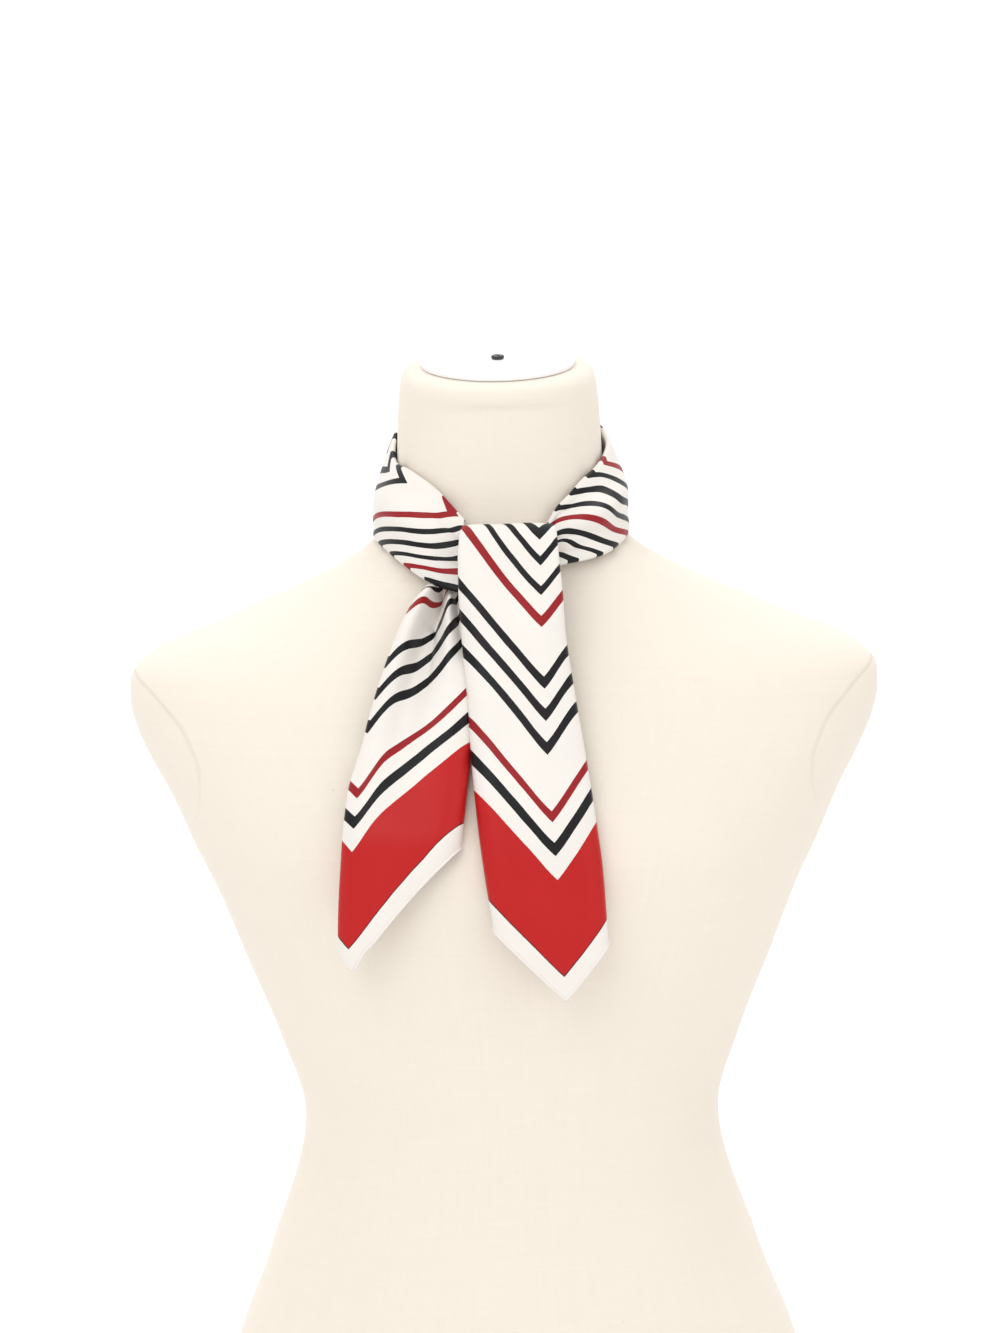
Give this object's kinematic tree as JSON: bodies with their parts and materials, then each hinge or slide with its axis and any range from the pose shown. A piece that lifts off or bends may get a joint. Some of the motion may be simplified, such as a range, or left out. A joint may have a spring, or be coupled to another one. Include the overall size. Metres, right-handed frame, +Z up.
{
  "type": "silk square scarf on a limbless dress form",
  "caption": "Striped silk square folded on the bias and tied in a half knot round the neck of a linen covered dress form.",
  "frame": {"origin": "middle of the form's flat underside, below the neck axis", "axes": "+Z up, the form faces -Y, and +X is to the viewer's right"},
  "size_m": [0.398, 0.2431, 0.6356],
  "materials": {
    "silk": "smooth twill silk, ivory with printed stripes",
    "linen": "plain woven cream linen",
    "cap": "smooth white",
    "screw": "dark"
  },
  "bodies": {
    "root": {"form_body": "linen", "form_neck_cap": "cap", "form_cap_screw": "screw", "scarf_loop_left": "silk", "scarf_loop_right": "silk", "scarf_loop_back": "silk", "scarf_knot": "silk", "scarf_tail_under": "silk", "scarf_tail_front": "silk"}
  },
  "joints": []
}
